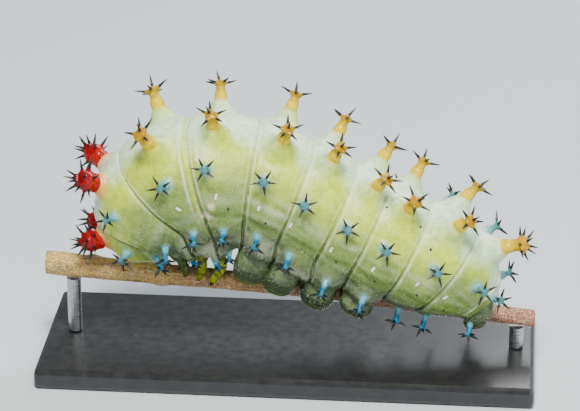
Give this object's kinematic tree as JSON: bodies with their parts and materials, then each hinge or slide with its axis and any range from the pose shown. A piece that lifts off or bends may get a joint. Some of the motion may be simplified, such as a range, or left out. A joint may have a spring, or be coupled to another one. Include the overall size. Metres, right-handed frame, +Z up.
{
  "type": "cecropia moth larva",
  "caption": "Life-size museum model of a plump, hunched green moth larva with coloured spiny knobs, gripping a cut twig on a flat display stand",
  "frame": {"origin": "middle of the underside of the stand's base", "axes": "+X along the larva towards its tail, +Y to the larva's right, +Z up"},
  "size_m": [0.0824, 0.031, 0.0486],
  "materials": {
    "skin": "soft, slightly waxy green skin with coloured glossy tubercles and black spines",
    "tubercle_red": "glossy crimson knobs",
    "tubercle_yellow": "glossy golden knobs",
    "tubercle_blue": "glossy pale blue knobs",
    "spine": "hard glossy black spines, claws and eye spots",
    "proleg": "wrinkled grey-green skin",
    "leg": "glossy yellow-green with black claws",
    "head": "smooth, slightly glossy",
    "bark": "rough bark with fine pale hairs",
    "base": "satin black",
    "rod": "brushed"
  },
  "bodies": {
    "root": {"abdomen_1": "skin", "abdomen_2": "skin", "abdomen_3": "skin", "abdomen_4": "skin", "abdomen_5": "skin", "abdomen_6": "skin", "abdomen_7": "skin", "abdomen_8": "skin", "abdomen_9": "skin", "anal_segment": "skin", "anal_proleg_left": "proleg", "anal_proleg_right": "proleg", "antenna_left": "leg", "antenna_right": "leg", "head": "head", "leg_1_left": "leg", "leg_1_right": "leg", "leg_2_left": "leg", "leg_2_right": "leg", "leg_3_left": "leg", "leg_3_right": "leg", "mesothorax": "skin", "metathorax": "skin", "perch_twig": "bark", "proleg_3_left": "proleg", "proleg_3_right": "proleg", "proleg_4_left": "proleg", "proleg_4_right": "proleg", "proleg_5_left": "proleg", "proleg_5_right": "proleg", "proleg_6_left": "proleg", "proleg_6_right": "proleg", "prothorax": "skin", "stand_base": "base", "stand_rod_front": "rod", "stand_rod_rear": "rod"}
  },
  "joints": []
}
